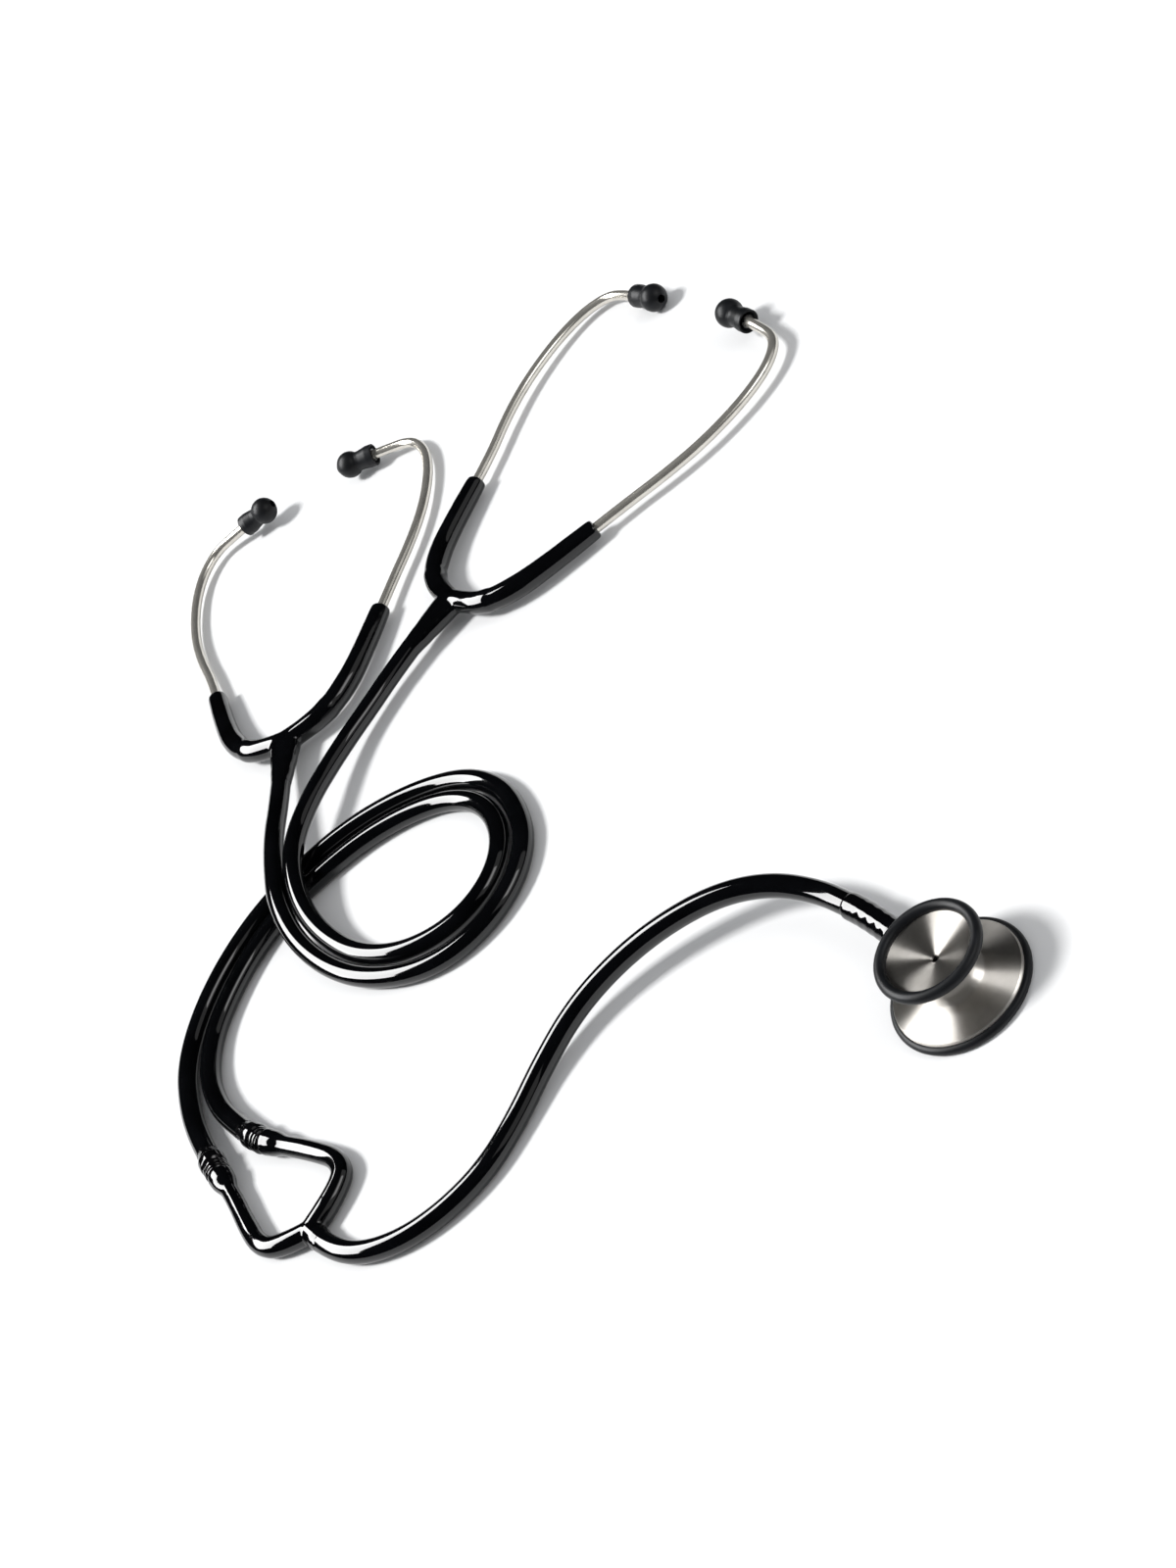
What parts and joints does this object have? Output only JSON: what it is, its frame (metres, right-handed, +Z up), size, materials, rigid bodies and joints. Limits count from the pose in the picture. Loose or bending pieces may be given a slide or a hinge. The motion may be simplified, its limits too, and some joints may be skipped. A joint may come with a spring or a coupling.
{
  "type": "stethoscope",
  "caption": "Black training stethoscope: a double-sided steel chestpiece whose hose forks to feed two sprung binaural headsets, lying in a loop.",
  "frame": {"origin": "centre of the diaphragm's outer face, on the surface that the chestpiece stands on", "axes": "+Z up through the bell, +Y along the chestpiece's stem towards the hose"},
  "size_m": [0.4088, 0.5809, 0.0246],
  "materials": {
    "brushed_steel": "turned stainless steel with fine circular brushing",
    "polished_tube": "polished stainless steel, slightly warm",
    "spring_steel": "plain spring steel",
    "hose_pvc": "high-gloss black moulded vinyl",
    "connector_plastic": "glossy black rigid plastic",
    "black_rubber": "satin black soft rubber",
    "diaphragm_resin": "thin pale epoxy-glass disc"
  },
  "bodies": {
    "root": {"stem": "polished_tube", "stem_clip": "spring_steel", "stem_oring": "black_rubber", "hose_sleeve": "hose_pvc", "main_hose": "hose_pvc", "hose_a": "hose_pvc", "hose_b": "hose_pvc", "y_fitting": "hose_pvc", "connector_left": "connector_plastic", "connector_right": "connector_plastic", "yoke_a": "hose_pvc", "yoke_b": "hose_pvc", "leaf_spring_a": "spring_steel", "leaf_spring_b": "spring_steel"},
    "chest_head": {"chest_body": "brushed_steel", "bell_rim": "black_rubber", "diaphragm": "diaphragm_resin", "diaphragm_rim": "black_rubber", "stem_collar": "polished_tube", "detent_ball": "spring_steel", "detent_spring": "spring_steel", "detent_screw": "spring_steel"},
    "arm_body_a_left": {"arm_a_left": "hose_pvc"},
    "tube_body_a_left": {"ear_tube_a_left": "polished_tube", "tip_insert_a_left": "connector_plastic", "ear_tip_a_left": "black_rubber"},
    "arm_body_a_right": {"arm_a_right": "hose_pvc"},
    "tube_body_a_right": {"ear_tube_a_right": "polished_tube", "tip_insert_a_right": "connector_plastic", "ear_tip_a_right": "black_rubber"},
    "arm_body_b_left": {"arm_b_left": "hose_pvc"},
    "tube_body_b_left": {"ear_tube_b_left": "polished_tube", "tip_insert_b_left": "connector_plastic", "ear_tip_b_left": "black_rubber"},
    "arm_body_b_right": {"arm_b_right": "hose_pvc"},
    "tube_body_b_right": {"ear_tube_b_right": "polished_tube", "tip_insert_b_right": "connector_plastic", "ear_tip_b_right": "black_rubber"}
  },
  "joints": [
    {"name": "chest_turn", "type": "hinge", "parent": "root", "child": "chest_head", "pos_m": [0, 0, 0.0116], "axis": [0, 1, 0], "range_deg": [0, 180]},
    {"name": "arm_spread_a_left", "type": "hinge", "parent": "root", "child": "arm_body_a_left", "pos_m": [0.00735, 0.37406, 0.00789], "axis": [0.0301, 0.0097, 0.9995], "range_deg": [-5, 15], "stiffness_Nm_per_rad": 2.5, "deforming": ["leaf_spring_a"]},
    {"name": "tube_twist_a_left", "type": "hinge", "parent": "arm_body_a_left", "child": "tube_body_a_left", "pos_m": [0.03894, 0.4104, 0.00658], "axis": [-0.9004, -0.434, 0.0314], "range_deg": [-5, 15]},
    {"name": "arm_spread_a_right", "type": "hinge", "parent": "root", "child": "arm_body_a_right", "pos_m": [0.00903, 0.35815, 0.00799], "axis": [-0.0301, -0.0097, -0.9995], "range_deg": [-5, 15], "stiffness_Nm_per_rad": 2.5, "deforming": ["leaf_spring_a"]},
    {"name": "tube_twist_a_right", "type": "hinge", "parent": "arm_body_a_right", "child": "tube_body_a_right", "pos_m": [0.04672, 0.32818, 0.00714], "axis": [0.9645, -0.2626, -0.0265], "range_deg": [-5, 15]},
    {"name": "arm_spread_b_left", "type": "hinge", "parent": "root", "child": "arm_body_b_left", "pos_m": [-0.08914, 0.3934, 0.00828], "axis": [-0.0223, -0.0392, -0.999], "range_deg": [-15, 5], "stiffness_Nm_per_rad": 2.5, "deforming": ["leaf_spring_b"]},
    {"name": "tube_twist_b_left", "type": "hinge", "parent": "arm_body_b_left", "child": "tube_body_b_left", "pos_m": [-0.09494, 0.44118, 0.00653], "axis": [-0.2813, -0.9586, 0.0439], "range_deg": [-5, 15]},
    {"name": "arm_spread_b_right", "type": "hinge", "parent": "root", "child": "arm_body_b_right", "pos_m": [-0.07598, 0.38429, 0.00834], "axis": [0.0223, 0.0392, 0.999], "range_deg": [-8, 5], "stiffness_Nm_per_rad": 2.5, "deforming": ["leaf_spring_b"]},
    {"name": "tube_twist_b_right", "type": "hinge", "parent": "arm_body_b_right", "child": "tube_body_b_right", "pos_m": [-0.02913, 0.39536, 0.00686], "axis": [0.8026, 0.5951, -0.0413], "range_deg": [-5, 15]}
  ]
}
